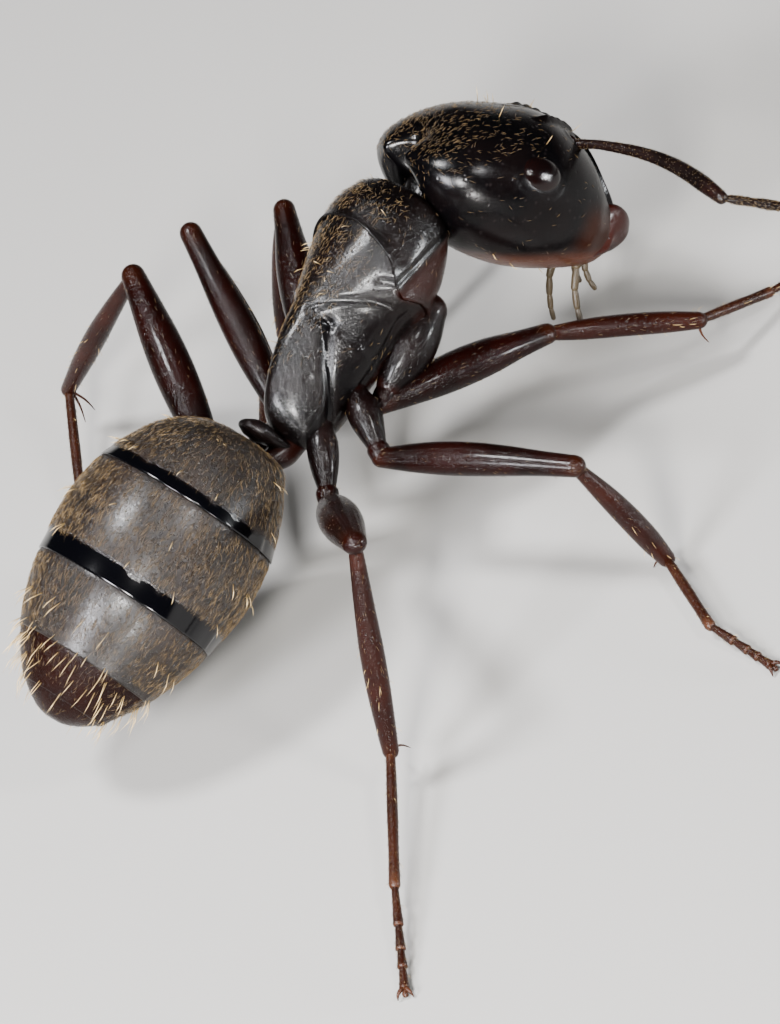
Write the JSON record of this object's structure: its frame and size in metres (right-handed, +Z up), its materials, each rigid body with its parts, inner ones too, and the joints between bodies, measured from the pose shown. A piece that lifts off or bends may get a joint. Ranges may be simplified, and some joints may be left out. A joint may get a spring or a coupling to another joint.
{
  "type": "carpenter ant model",
  "caption": "Still, life-size carpenter ant worker standing on its feet, head nodded and turned aside, elbowed antennae, narrow waist with an upright scale, oval banded gaster.",
  "frame": {"origin": "on the floor under the middle of the ant's box", "axes": "+X the way the ant heads, +Y its left side, +Z up"},
  "size_m": [0.0138, 0.013, 0.0047],
  "materials": {
    "shell": "glossy black cuticle with fine pits and a blue-grey sheen",
    "gaster": "dull black cuticle under short golden hair, with bare glossy bands and a browner tip",
    "leg": "glossy, very dark red-brown cuticle, redder at the joints",
    "foot": "brown cuticle, paler towards the claws",
    "antenna": "dark brown cuticle with a dull bloom",
    "jaw": "glossy red-brown cuticle",
    "eye": "dark brown, finely faceted and glossy"
  },
  "bodies": {
    "root": {"head": "shell", "neck": "shell", "pronotum": "shell", "mesothorax": "shell", "propodeum": "shell", "eye_R": "eye", "mandible_R": "jaw", "palp_R": "foot", "scape_R": "antenna", "funiculus_R": "antenna", "eye_L": "eye", "mandible_L": "jaw", "palp_L": "foot", "scape_L": "antenna", "funiculus_L": "antenna", "petiole": "leg", "gaster_1": "gaster", "gaster_2": "gaster", "gaster_3": "gaster", "gaster_4": "gaster", "gaster_5": "gaster", "coxa_fore_R": "leg", "trochanter_fore_R": "leg", "femur_fore_R": "leg", "tibia_fore_R": "leg", "basitarsus_fore_R": "foot", "tarsus_fore_R": "foot", "coxa_fore_L": "leg", "trochanter_fore_L": "leg", "femur_fore_L": "leg", "tibia_fore_L": "leg", "basitarsus_fore_L": "foot", "tarsus_fore_L": "foot", "coxa_mid_R": "leg", "trochanter_mid_R": "leg", "femur_mid_R": "leg", "tibia_mid_R": "leg", "basitarsus_mid_R": "foot", "tarsus_mid_R": "foot", "coxa_mid_L": "leg", "trochanter_mid_L": "leg", "femur_mid_L": "leg", "tibia_mid_L": "leg", "basitarsus_mid_L": "foot", "tarsus_mid_L": "foot", "coxa_hind_R": "leg", "trochanter_hind_R": "leg", "femur_hind_R": "leg", "tibia_hind_R": "leg", "basitarsus_hind_R": "foot", "tarsus_hind_R": "foot", "coxa_hind_L": "leg", "trochanter_hind_L": "leg", "femur_hind_L": "leg", "tibia_hind_L": "leg", "basitarsus_hind_L": "foot", "tarsus_hind_L": "foot"}
  },
  "joints": []
}
